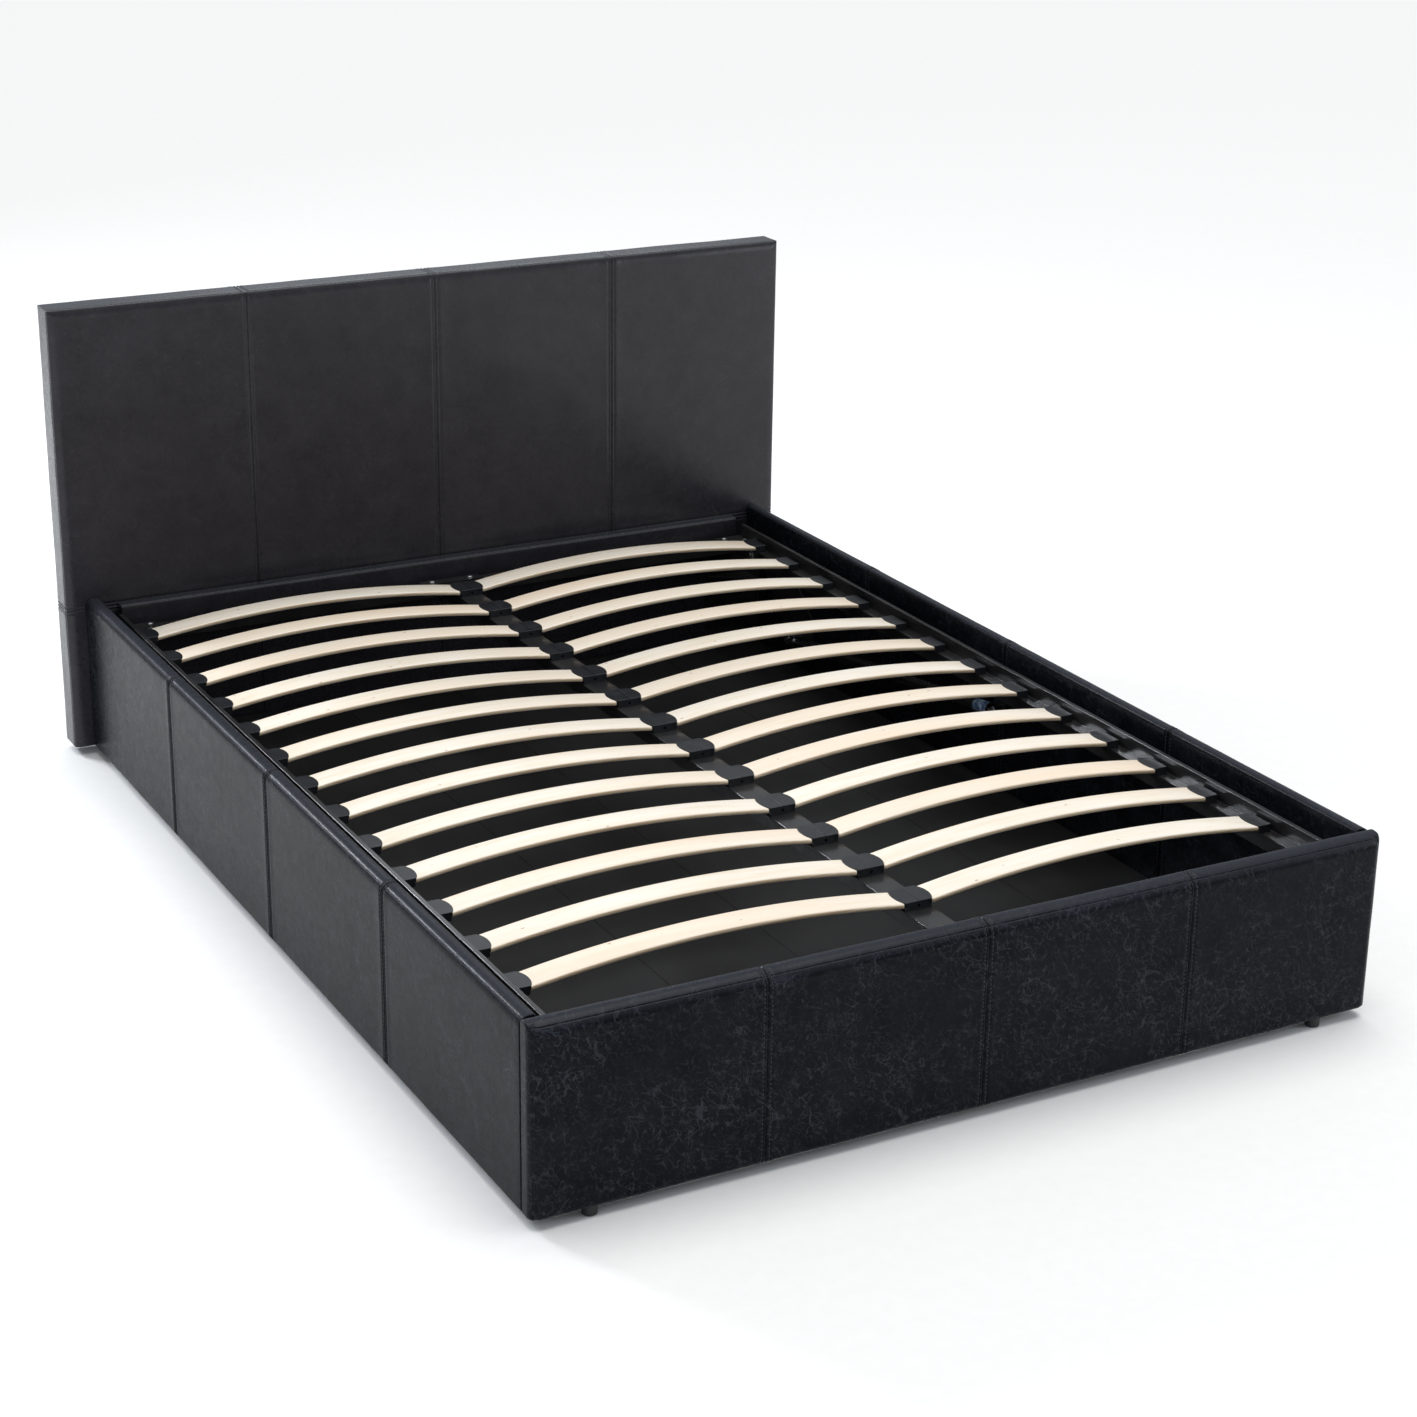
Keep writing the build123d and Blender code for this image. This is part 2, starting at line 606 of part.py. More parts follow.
def slat():
    """Right-hand slat at y = 0: a pressed birch strip with eased edges and a tongue at each end."""
    strip = extrude(slat_section(0), amount=SLAT_WIDTH / 2, both=True)
    strip = chamfer(strip.edges().filter_by(GeomType.CIRCLE), SLAT_EDGE)
    for x in ((SLAT_INNER_X - 1, SLAT_INNER_SHOULDER), (SLAT_OUTER_SHOULDER, SLAT_OUTER_X + 1)):
        for side in (-1, 1):
            y = sorted((side * SLAT_TONGUE_WIDTH / 2, side * SLAT_WIDTH))
            strip = strip - block(x, y, (200, 300))
    return strip


def slat_room():
    """The space that a right-hand slat needs in its holders."""
    strip = extrude(slat_section(POCKET_PLAY), amount=SLAT_WIDTH / 2 + POCKET_PLAY, both=True)
    tongue = SLAT_TONGUE_WIDTH / 2 + POCKET_PLAY
    for x in ((SLAT_INNER_X - 1, SLAT_INNER_SHOULDER - 0.5), (SLAT_OUTER_SHOULDER + 0.5, SLAT_OUTER_X + 1)):
        for side in (-1, 1):
            y = sorted((side * tongue, side * SLAT_WIDTH))
            strip = strip - block(x, y, (200, 300))
    return strip


def lip_outline(corner_x, edge_x):
    """X-Y outline of a holder from its straight edge to a lip that bulges over the slat."""
    half = HOLDER_WIDTH / 2
    towards = -1 if edge_x > corner_x else 1
    bulge = ThreePointArc((corner_x, -half, 0), (corner_x + towards * LIP_BULGE, 0, 0), (corner_x, half, 0))
    sides = [Line((corner_x, half, 0), (edge_x, half, 0)), Line((edge_x, half, 0), (edge_x, -half, 0)),
             Line((edge_x, -half, 0), (corner_x, -half, 0))]
    return make_face([bulge] + sides)


def lip_plate(corner_x, edge_x):
    """The upper plate of a holder, with its lip over the slat's end."""
    low = SLAT_END_TOP - 2.5
    plate = extrude(lip_outline(corner_x, edge_x), amount=HOLDER_TOP + 1.2 - low, dir=(0, 0, 1))
    return Pos(0, 0, low + GLIDE_HEIGHT) * plate


def slat_end_holder():
    """Right-hand holder at y = 0: sits on the ledge and takes the slat's outer tongue."""
    half = HOLDER_WIDTH / 2
    body = block((SLAT_OUTER_SHOULDER + 1.5, HOLDER_OUTER_X), (-half, half), (TUBE_TOP, HOLDER_TOP))
    shape = body + lip_plate(SLAT_OUTER_SHOULDER, HOLDER_OUTER_X)
    top = shape.faces().sort_by(Axis.Z)[-1]
    shape = fillet(top.edges(), 0.7)
    return shape - slat_room()


def slat_centre_holder():
    """Double holder at y = 0 on the centre tube, with a raised rib across its middle."""
    half = HOLDER_WIDTH / 2
    edge = SLAT_INNER_SHOULDER - 1.5
    body = block((-edge, edge), (-half, half), (TUBE_TOP, HOLDER_TOP))
    right = lip_plate(SLAT_INNER_SHOULDER - 1.0, 0.0)
    shape = body + right + to_left(right)
    top = shape.faces().sort_by(Axis.Z)[-1]
    shape = fillet(top.edges(), 0.7)
    rib = block((-0.7, 0.7), (-half + 1, half - 1), (HOLDER_TOP, HOLDER_TOP + 1.9))
    dimple = cylinder_y(0, (-half - 1, -half + 4), (TUBE_TOP + HOLDER_TOP) / 2, 2.6)
    room = slat_room()
    return shape + rib - dimple - room - to_left(room)


def slat_y(row):
    """Middle of a row of slats; row 0 is nearest the foot."""
    return FIRST_SLAT_Y + row * SLAT_PITCH


RIVET_RADIUS = 2.0
END_RIVET_X = 640.0


def holder_rivet(x):
    """Rivet under a holder at y = 0, through the wall of the tube below it."""
    shank = cylinder_z(x, 0, (TUBE_TOP - STEEL_WALL, TUBE_TOP + 1.0), RIVET_RADIUS)
    head = cylinder_z(x, 0, (TUBE_TOP - STEEL_WALL - 1.5, TUBE_TOP - STEEL_WALL), 2 * RIVET_RADIUS)
    return shank + head


# ---------------------------------------------------------------- gas struts

CYLINDER_START = 30.0
CYLINDER_END = 660.0
GUIDE_THICK = 12.0
PISTON_START = 60.0
PISTON_THICK = 10.0
BAND_START = 20.0
BAND_LENGTH = 41.0
BAND_THICK = 0.4


def strut_frame():
    """Frame at the right-hand strut's upper eye, with Z along the strut towards its lower eye."""
    run = (0, STRUT_BASE_Y - STRUT_TOP_Y, STRUT_BASE_Z - STRUT_TOP_Z)
    return Plane(origin=(STRUT_X, STRUT_TOP_Y, STRUT_TOP_Z + GLIDE_HEIGHT), x_dir=(1, 0, 0), z_dir=run)


def along(z_low, z_high, radius):
    """Round bar along local Z."""
    return Pos(0, 0, (z_low + z_high) / 2) * Cylinder(radius, z_high - z_low)


def eye(z, neck_to):
    """Eye with its hole along local X at height z, and a neck that reaches neck_to."""
    ring = Pos(0, 0, z) * Rot(0, 90, 0) * Cylinder(EYE_RADIUS, EYE_WIDTH)
    neck = along(min(z, neck_to), max(z, neck_to), EYE_WIDTH / 2 - 0.6)
    hole = Pos(0, 0, z) * Rot(0, 90, 0) * Cylinder(PIN_RADIUS + RUNNING_CLEARANCE, EYE_WIDTH + 2)
    return ring + neck - hole


def gas_cylinder():
    """Tube of the strut with its upper end cap, its eye and the rod guide."""
    outside = along(CYLINDER_START - 12.0, CYLINDER_END, STRUT_RADIUS)
    outside = chamfer(outside.edges().filter_by(GeomType.CIRCLE), 1.5)
    bore = along(CYLINDER_START, CYLINDER_END - GUIDE_THICK, STRUT_RADIUS - STRUT_WALL)
    guide = along(CYLINDER_END - GUIDE_THICK - 1, CYLINDER_END + 1, ROD_RADIUS + RUNNING_CLEARANCE)
    tube = outside - bore - guide
    return strut_frame() * (tube + eye(0, CYLINDER_START - 10.0))


def piston_rod():
    """Rod with its piston in the tube and the lower eye outside it."""
    rod = along(PISTON_START, STRUT_LENGTH - EYE_RADIUS - 8.0, ROD_RADIUS)
    piston = along(PISTON_START, PISTON_START + PISTON_THICK, STRUT_RADIUS - STRUT_WALL - RUNNING_CLEARANCE)
    socket = along(STRUT_LENGTH - EYE_RADIUS - 16.0, STRUT_LENGTH - EYE_RADIUS + 2.0, ROD_RADIUS + 2.5)
    return strut_frame() * (rod + piston + socket + eye(STRUT_LENGTH, STRUT_LENGTH - EYE_RADIUS - 4.0))


def strut_band():
    """Thin coloured sleeve round the tube, near its upper end."""
    outer = along(BAND_START, BAND_START + BAND_LENGTH, STRUT_RADIUS + BAND_THICK)
    inner = along(BAND_START - 1, BAND_START + BAND_LENGTH + 1, STRUT_RADIUS)
    return strut_frame() * (outer - inner)


# ---------------------------------------------------------------- files

def save(node, shapes):
    """Write one node; a list becomes a group of separate solids."""
    shape = Compound(children=list(shapes)) if isinstance(shapes, (list, tuple)) else shapes
    export_step(shape, f"parts/{node}.step")


def save_panels():
    """Headboard, footboard, side rails and the headboard's strip."""
    points = rail_bolt_points()
    board, foam, leather = side_rail_parts()
    through = (INNER_X - 1, INNER_X + 16)
    for side in SIDES:
        save(f"side_rail_board_{side}", for_side(drill_x(board, points, through, BOLT_RADIUS), side))
        save(f"side_rail_foam_{side}", for_side(drill_x(foam, points, through, BOLT_RADIUS), side))
        save(f"side_rail_leather_{side}", for_side(drill_x(leather, points, through, BOLT_RADIUS), side))
    holes = end_bolt_points()
    ends = {"headboard": (headboard_parts(), (HEAD_INNER_Y - 1, HEAD_INNER_Y + 16)),
            "footboard": (footboard_parts(), (FOOT_INNER_Y - 16, FOOT_INNER_Y + 1))}
    for name, (pieces, span) in ends.items():
        for layer, piece in zip(("board", "foam", "leather"), pieces):
            save(f"{name}_{layer}", drill_y(piece, holes, span, BOLT_RADIUS))
    strip_board, strip_leather = head_strip_parts()
    save("head_strip_board", strip_board)
    save("head_strip_leather", strip_leather)


def save_fixed_hardware():
    """Brackets, plates, pins, bolts, floor and glides: all fixed to the panels."""
    save("corner_brackets", all_corners(corner_bracket()))
    corner_bolts = [piece for bolt in corner_bracket_bolts() for piece in all_corners(bolt)]
    rail_bolts = rail_hardware_bolts()
    save("frame_bolts", corner_bolts + rail_bolts + [to_left(bolt) for bolt in rail_bolts])
    for side in SIDES:
        save(f"hinge_plate_{side}", for_side(hinge_plate(), side))
    for node, piece in (("hinge_pins", hinge_pin()), ("strut_base_studs", strut_base_stud()),
                        ("rest_brackets", rest_bracket()), ("rest_pads", rest_pad())):
        save(node, [piece, to_left(piece)])
    save("floor_panels", floor_strips())
    save("floor_centre_beam", floor_centre_beam())
    save("floor_cross_beams", floor_cross_beams())
    save("floor_ledges", floor_ledges())
    save("foot_glides", foot_glides())


def save_platform():
    """Lifting platform with its slats and holders."""
    bolt_points = plate_bolt_points()
    upper_wall = (TUBE_TOP - STEEL_WALL - 1.0, TUBE_TOP + BRACKET_STEEL + 1.0)
    side_tube = drill_z(platform_side(), [(x, y) for x, y in bolt_points if x > LEDGE_INNER_X],
                        upper_wall, BOLT_RADIUS)
    side_tube = drill_z(side_tube, [(END_RIVET_X, slat_y(row)) for row in range(SLAT_ROWS)],
                        upper_wall, RIVET_RADIUS)
    for side in SIDES:
        save(f"platform_side_{side}", for_side(side_tube, side))
    cross = {"foot": PLATFORM_FOOT_Y, "head": PLATFORM_HEAD_Y - CROSS_TUBE_WIDTH}
    for end, y_low in cross.items():
        half = drill_z(cross_tube_half(y_low), bolt_points, upper_wall, BOLT_RADIUS)
        save(f"platform_{end}_tubes", [half, to_left(half)])
    centre_tube = drill_z(platform_centre_tube(), [(0.0, slat_y(row)) for row in range(SLAT_ROWS)],
                          upper_wall, RIVET_RADIUS)
    save("platform_centre_tube", centre_tube)
    save("platform_plates", [drill_z(plate, bolt_points, upper_wall, BOLT_RADIUS)
                             for plate in platform_join_plates()])
    save("platform_bolts", [platform_bolt(x, y) for x, y in bolt_points])
    for node, piece in (("hinge_bushes", hinge_bush()), ("strut_lugs", strut_lug()),
                        ("strut_top_pins", strut_top_pin())):
        save(node, [piece, to_left(piece)])
    one_slat = slat()
    end_rivet, centre_rivet = holder_rivet(END_RIVET_X), holder_rivet(0.0)
    end_holder, centre_holder = slat_end_holder() - end_rivet, slat_centre_holder() - centre_rivet
    rows = [Pos(0, slat_y(row), 0) for row in range(SLAT_ROWS)]
    for number, place in enumerate(rows, start=1):
        save(f"slat_pair_{number:02d}", [place * one_slat, place * to_left(one_slat)])
    save("slat_end_holders_right", [place * end_holder for place in rows])
    save("slat_end_holders_left", [place * to_left(end_holder) for place in rows])
    save("slat_centre_holders", [place * centre_holder for place in rows])
    rivets = [end_rivet, to_left(end_rivet), centre_rivet]
    save("holder_rivets", [place * rivet for place in rows for rivet in rivets])


def save_struts():
    """Both gas struts."""
    for side in SIDES:
        save(f"gas_cylinder_{side}", for_side(gas_cylinder(), side))
        save(f"piston_rod_{side}", for_side(piston_rod(), side))
        save(f"strut_band_{side}", for_side(strut_band(), side))


os.makedirs("parts", exist_ok=True)
save_panels()
save_fixed_hardware()
save_platform()
save_struts()
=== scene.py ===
import json
import math

import bpy
from mathutils import Matrix, Vector, noise


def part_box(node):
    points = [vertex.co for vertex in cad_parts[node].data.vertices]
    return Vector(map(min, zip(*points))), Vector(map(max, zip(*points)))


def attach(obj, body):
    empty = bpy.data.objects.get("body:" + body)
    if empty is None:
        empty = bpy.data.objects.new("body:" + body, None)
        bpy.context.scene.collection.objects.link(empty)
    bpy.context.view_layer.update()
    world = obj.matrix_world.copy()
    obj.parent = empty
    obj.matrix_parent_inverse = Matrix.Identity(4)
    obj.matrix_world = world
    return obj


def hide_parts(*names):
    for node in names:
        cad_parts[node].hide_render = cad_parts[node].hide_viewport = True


# Double ottoman storage bed: leather-covered panels, birch slats and black steel, in metres.

MM = 0.001
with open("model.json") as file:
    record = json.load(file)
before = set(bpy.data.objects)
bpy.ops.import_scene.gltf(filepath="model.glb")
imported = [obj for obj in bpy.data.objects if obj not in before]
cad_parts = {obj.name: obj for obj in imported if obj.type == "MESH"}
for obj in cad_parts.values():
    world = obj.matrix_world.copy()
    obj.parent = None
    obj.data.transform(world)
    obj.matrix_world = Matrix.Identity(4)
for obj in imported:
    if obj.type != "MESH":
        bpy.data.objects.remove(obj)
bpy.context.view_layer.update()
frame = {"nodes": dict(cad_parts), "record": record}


# ---------------------------------------------------------------- camera and lights

CAMERA_PLACE = Vector((-2.1097, -4.0462, 2.010))
CAMERA_AZIMUTH = math.radians(28.52)
CAMERA_DOWN = math.radians(20.64)
CAMERA_ROLL = math.radians(0.803)
CAMERA_LENS = 73.38


def make_camera():
    """Camera at the viewing angle of the reference view, with no shift."""
    ahead = Vector((math.sin(CAMERA_AZIMUTH) * math.cos(CAMERA_DOWN),
                    math.cos(CAMERA_AZIMUTH) * math.cos(CAMERA_DOWN), -math.sin(CAMERA_DOWN)))
    level_right = ahead.cross(Vector((0, 0, 1))).normalized()
    level_up = level_right.cross(ahead)
    right = level_right * math.cos(CAMERA_ROLL) + level_up * math.sin(CAMERA_ROLL)
    up = level_up * math.cos(CAMERA_ROLL) - level_right * math.sin(CAMERA_ROLL)
    data = bpy.data.cameras.new("camera")
    data.lens = CAMERA_LENS
    data.sensor_width = 36.0
    data.clip_end = 400.0
    camera = bpy.data.objects.new("camera", data)
    turn = Matrix((right, up, -ahead)).transposed().to_4x4()
    camera.matrix_world = Matrix.Translation(CAMERA_PLACE) @ turn
    bpy.context.scene.collection.objects.link(camera)
    bpy.context.scene.camera = camera


def area_light(name, place, target, size, power, colour):
    """Soft rectangular light at place, facing target."""
    data = bpy.data.lights.new(name, "AREA")
    data.shape = "RECTANGLE"
    data.size, data.size_y = size
    data.energy = power
    data.color = colour
    light = bpy.data.objects.new(name, data)
    light.location = place
    light.rotation_euler = (Vector(target) - Vector(place)).to_track_quat("-Z", "Y").to_euler()
    bpy.context.scene.collection.objects.link(light)


def make_lights():
    """Cool dim surround, one wide soft sun overhead, soft boxes behind, and a fill from each side."""
    world = bpy.data.worlds.new("studio")
    bpy.context.scene.world = world
    world.use_nodes = True
    background = world.node_tree.nodes["Background"]
    background.inputs["Color"].default_value = (0.89, 0.945, 1.0, 1.0)
    background.inputs["Strength"].default_value = 0.40
    data = bpy.data.lights.new("overhead", "SUN")
    data.energy = 2.05
    data.angle = math.radians(50.0)
    data.color = (1.0, 0.985, 0.955)
    overhead = bpy.data.objects.new("overhead", data)
    overhead.rotation_euler = (math.radians(-4.0), math.radians(5.0), 0.0)
    bpy.context.scene.collection.objects.link(overhead)
    area_light("back_left", (-2.3, 3.7, 2.4), (-0.5, -0.2, 0.2), (1.1, 0.7), 115.0, (0.90, 0.94, 1.0))
    area_light("back_strip", (1.2, 3.6, 2.2), (0.2, 0.0, 0.3), (1.6, 0.5), 5.0, (0.93, 0.96, 1.0))
    area_light("front_left", (-3.6, -2.4, 2.2), (0.0, -0.4, 0.2), (1.6, 1.6), 10.0, (0.92, 0.96, 1.0))
    area_light("front_right", (3.3, -2.6, 1.3), (0.5, 0.2, 0.4), (1.4, 1.4), 26.0, (0.92, 0.96, 1.0))
    bpy.context.scene.view_settings.view_transform = "Standard"


def make_floor():
    """Plain pale floor, wide enough to fill the view."""
    half = 160.0
    mesh = bpy.data.meshes.new("floor")
    mesh.from_pydata([(-half, -half, 0), (half, -half, 0), (half, half, 0), (-half, half, 0)], [], [(0, 1, 2, 3)])
    floor = bpy.data.objects.new("floor", mesh)
    bpy.context.scene.collection.objects.link(floor)
    paint = Paint("floor_paper", roughness=0.9)
    grain = paint.noise(40.0, 3.0)
    paint.set("Base Color", paint.ramp(grain, [(0.3, (0.92, 0.92, 0.92)), (0.7, (0.94, 0.94, 0.94))]))
    mesh.materials.append(paint.material)


# ---------------------------------------------------------------- material helper

class Paint:
    """A procedural material built from object-space nodes round one Principled shader."""

    def __init__(self, name, **values):
        self.material = bpy.data.materials.new(name)
        self.material.use_nodes = True
        self.tree = self.material.node_tree
        self.shader = self.tree.nodes["Principled BSDF"]
        self.coordinates = self.tree.nodes.new("ShaderNodeTexCoord")
        for key, value in values.items():
            self.shader.inputs[key.replace("_", " ").title()].default_value = value

    def colour(self, rgb):
        """One plain base colour, before any pattern goes over it."""
        self.shader.inputs["Base Color"].default_value = (*rgb, 1.0)

    def set(self, name, output):
        """Link a pattern to a socket of the shader."""
        self.tree.links.new(output, self.shader.inputs[name])

    def node(self, kind, **links):
        """New node whose inputs, by name with _ for a space, take outputs or plain values."""
        made = self.tree.nodes.new(kind)
        for key, value in links.items():
            socket = made.inputs[key.replace("_", " ")]
            if isinstance(value, bpy.types.NodeSocket):
                self.tree.links.new(value, socket)
            else:
                socket.default_value = value
        return made

    def space(self, stretch=(1.0, 1.0, 1.0), turn=(0.0, 0.0, 0.0)):
        """Object-space position, stretched and turned."""
        mapping = self.node("ShaderNodeMapping", Vector=self.coordinates.outputs["Object"])
        mapping.inputs["Scale"].default_value = stretch
        mapping.inputs["Rotation"].default_value = turn
        return mapping.outputs["Vector"]

    def noise(self, scale, detail=4.0, space=None, kind="FBM", rough=0.55, distortion=0.0):
        """Noise pattern; scale is in cycles per metre."""
        vector = space or self.coordinates.outputs["Object"]
        made = self.node("ShaderNodeTexNoise", Vector=vector)
        made.noise_type = kind
        made.inputs["Scale"].default_value = scale
        made.inputs["Detail"].default_value = detail
        made.inputs["Roughness"].default_value = rough
        made.inputs["Distortion"].default_value = distortion
        return made.outputs["Fac"]

    def cells(self, scale, feature="DISTANCE_TO_EDGE", space=None):
        """Voronoi distances; scale is in cells per metre."""
        vector = space or self.coordinates.outputs["Object"]
        made = self.node("ShaderNodeTexVoronoi", Vector=vector)
        made.feature = feature
        made.inputs["Scale"].default_value = scale
        return made.outputs["Distance"]

    def ramp(self, factor, stops):
        """Colour ramp over (position, rgb or grey) stops."""
        made = self.node("ShaderNodeValToRGB", Fac=factor)
        elements = made.color_ramp.elements
        while len(elements) < len(stops):
            elements.new(0.5)
        for element, (place, value) in zip(elements, stops):
            element.position = place
            rgb = value if isinstance(value, tuple) else (value, value, value)
            element.color = (*rgb, 1.0)
        return made.outputs["Color"]

    def mix(self, factor, low, high, blend="MIX"):
        """Mix of two colours or patterns."""
        made = self.tree.nodes.new("ShaderNodeMix")
        made.data_type = "RGBA"
        made.blend_type = blend
        for name, value in (("Factor_Float", factor), ("A_Color", low), ("B_Color", high)):
            socket = next(s for s in made.inputs if s.identifier == name)
            if isinstance(value, bpy.types.NodeSocket):
                self.tree.links.new(value, socket)
            else:
                socket.default_value = (*value, 1.0) if isinstance(value, tuple) else value
        return next(s for s in made.outputs if s.identifier == "Result_Color")

    def sum(self, first, second, operation="ADD"):
        """Arithmetic on two patterns or numbers."""
        made = self.tree.nodes.new("ShaderNodeMath")
        made.operation = operation
        for socket, value in zip(made.inputs, (first, second)):
            if isinstance(value, bpy.types.NodeSocket):
                self.tree.links.new(value, socket)
            else:
                socket.default_value = value
        return made.outputs["Value"]

    def bump(self, height, depth, strength=1.0, below=None):
        """Bump of the given depth in metres, over an earlier one if there is one."""
        made = self.node("ShaderNodeBump", Height=height, Distance=depth, Strength=strength)
        if below is not None:
            self.tree.links.new(below, made.inputs["Normal"])
        return made.outputs["Normal"]

    def facing(self, axis):
        """How far the surface faces along an object axis: 0 to 1, either way."""
        parts = self.node("ShaderNodeSeparateXYZ", Vector=self.coordinates.outputs["Normal"])
        return self.sum(parts.outputs[axis], 0.0, "ABSOLUTE")


# ---------------------------------------------------------------- materials

def hairlines(paint, scale, turn, width):
    """Short curved hair-like lines along one slant: thin contours of a noise, broken up by another."""
    mapping = paint.node("ShaderNodeMapping", Vector=paint.coordinates.outputs["Object"])
    mapping.vector_type = "TEXTURE"
    mapping.inputs["Rotation"].default_value = turn
    mapping.inputs["Scale"].default_value = (1.9, 1.9, 0.75)
    space = mapping.outputs["Vector"]
    contour = paint.sum(paint.noise(scale, 1.5, space, distortion=0.6), 0.5, "SUBTRACT")
    line = paint.ramp(paint.sum(contour, 0.0, "ABSOLUTE"), [(0.0, 1.0), (width, 0.0)])
    pieces = paint.ramp(paint.noise(scale * 1.3, 2.0, space), [(0.45, 0.0), (0.58, 1.0)])
    return paint.sum(line, pieces, "MULTIPLY")


def leather_paint(name, dark, light, hair, crackle, specular):
    """Bonded leather: cloudy colour, hair-like pull-up lines, fine grain, a low waxy gloss, and a painted sheen
    that lightens faces pointing up or down.
    """
    paint = Paint(name, roughness=0.42)
    paint.shader.inputs["Specular IOR Level"].default_value = specular
    clouds = paint.sum(paint.noise(5.0, 5.0, distortion=0.7), paint.noise(26.0, 4.0), "ADD")
    base = paint.ramp(paint.sum(clouds, 0.5, "MULTIPLY"), [(0.36, dark), (0.64, light)])
    sets = [(26.0, (0.35, 0.5, 0.0), 0.009), (33.0, (-0.5, -0.7, 0.6), 0.011), (42.0, (1.2, 1.35, 0.3), 0.013),
            (54.0, (2.2, 2.0, 1.1), 0.017), (70.0, (0.1, -0.2, 2.0), 0.022), (90.0, (0.8, 1.0, 0.4), 0.028)]
    lines = hairlines(paint, *sets[0])
    for values in sets[1:]:
        lines = paint.sum(lines, hairlines(paint, *values), "ADD")
    patches = paint.ramp(paint.noise(6.0, 4.0), [(0.36, 0.25), (0.60, 1.0)])
    lines = paint.sum(lines, patches, "MULTIPLY")
    share = paint.ramp(paint.sum(lines, crackle, "MULTIPLY"), [(0.0, 0.0), (1.0, 1.0)])
    # Painted sheen: faces pointing up or down are mixed towards a pale bluish grey, a painted reflection of the
    # bright surround on the tops.
    painted_top_sheen = paint.sum(paint.ramp(paint.facing("Z"), [(0.30, 0.0), (0.92, 1.0)]), 0.55, "MULTIPLY")
    paint.set("Base Color", paint.mix(painted_top_sheen, paint.mix(share, base, hair), (0.046, 0.050, 0.062)))
    rough = paint.sum(paint.sum(paint.noise(60.0, 4.0), 0.22, "MULTIPLY"), 0.17, "ADD")
    paint.set("Roughness", rough)
    grain = paint.ramp(paint.cells(420.0), [(0.0, 0.0), (0.35, 1.0)])
    pebble = paint.bump(grain, 0.05 * MM, 0.35)
    wrinkles = paint.bump(lines, 0.10 * MM, 0.25 + 0.3 * crackle, pebble)
    creases = paint.noise(30.0, 3.5, paint.space((1.0, 1.0, 1.0), (0.5, 0.9, 0.3)), "FBM", 0.5, 1.6)
    paint.set("Normal", paint.bump(creases, 0.12 * MM, 0.40, wrinkles))
    return paint.material


def thread_paint():
    """Waxed thread, a little lighter than the leather, with a twist."""
    paint = Paint("thread", roughness=0.55)
    twist = paint.noise(900.0, 2.0)
    paint.set("Base Color", paint.ramp(twist, [(0.3, (0.014, 0.014, 0.017)), (0.7, (0.045, 0.046, 0.053))]))
    paint.set("Normal", paint.bump(twist, 0.1 * MM, 0.6))
    return paint.material


def birch_paint():
    """Pale lacquered birch plywood: long grain on the faces, layers on the edges, small specks."""
    paint = Paint("birch", roughness=0.34)
    paint.shader.inputs["Coat Weight"].default_value = 0.25
    paint.shader.inputs["Coat Roughness"].default_value = 0.18
    long_way = paint.space((1.2, 16.0, 16.0))
    grain = paint.noise(5.0, 7.0, long_way, distortion=0.5)
    fine = paint.noise(34.0, 5.0, long_way)
    plain = paint.ramp(grain, [(0.30, (0.88, 0.775, 0.62)), (0.52, (0.94, 0.86, 0.745)),
                               (0.75, (0.95, 0.90, 0.815))])
    tint = paint.noise(0.8, 1.0, paint.space((0.9, 8.6, 0.6)))
    tinted = paint.mix(paint.ramp(tint, [(0.42, 0.0), (0.66, 0.75)]), plain, (0.92, 0.755, 0.585))
    streaked = paint.mix(paint.ramp(fine, [(0.55, 0.0), (0.80, 0.30)]), tinted, (0.72, 0.55, 0.37))
    speck_cells = paint.cells(24.0, "F1", paint.space((0.8, 1.6, 1.6)))
    specks = paint.ramp(speck_cells, [(0.035, 0.75), (0.075, 0.0)])
    faces = paint.mix(specks, streaked, (0.33, 0.19, 0.10))
    layers = paint.noise(6.0, 3.0, paint.space((0.25, 0.25, 110.0)))
    edges = paint.ramp(layers, [(0.40, (0.62, 0.44, 0.27)), (0.60, (0.86, 0.72, 0.52))])
    side = paint.ramp(paint.facing("Y"), [(0.72, 0.0), (0.92, 1.0)])
    paint.set("Base Color", paint.mix(side, faces, edges))
    paint.set("Roughness", paint.sum(paint.sum(fine, 0.22, "MULTIPLY"), 0.28, "ADD"))
    paint.set("Normal", paint.bump(grain, 0.12 * MM, 0.35))
    return paint.material


def steel_paint(name, base, worn, rough):
    """Powder-coated steel: orange peel, faint dust and lighter worn patches."""
    paint = Paint(name, roughness=rough)
    paint.shader.inputs["Coat Weight"].default_value = 0.35
    paint.shader.inputs["Coat Roughness"].default_value = 0.12
    wear = paint.noise(11.0, 7.0, distortion=0.4)
    paint.set("Base Color", paint.ramp(wear, [(0.35, base), (0.78, worn)]))
    paint.set("Roughness", paint.sum(paint.sum(wear, 0.25, "MULTIPLY"), rough - 0.10, "ADD"))
    paint.set("Normal", paint.bump(paint.noise(260.0, 3.0), 0.06 * MM, 0.4))
    return paint.material


def plated_paint(name, colour, rough):
    """Bright plated steel with fine turned lines."""
    paint = Paint(name, metallic=1.0, roughness=rough)
    lines = paint.noise(500.0, 3.0, paint.space((6.0, 1.0, 1.0)))
    dull = tuple(0.72 * part for part in colour)
    paint.set("Base Color", paint.ramp(lines, [(0.3, dull), (0.7, colour)]))
    paint.set("Roughness", paint.sum(paint.sum(lines, 0.15, "MULTIPLY"), rough, "ADD"))
    return paint.material


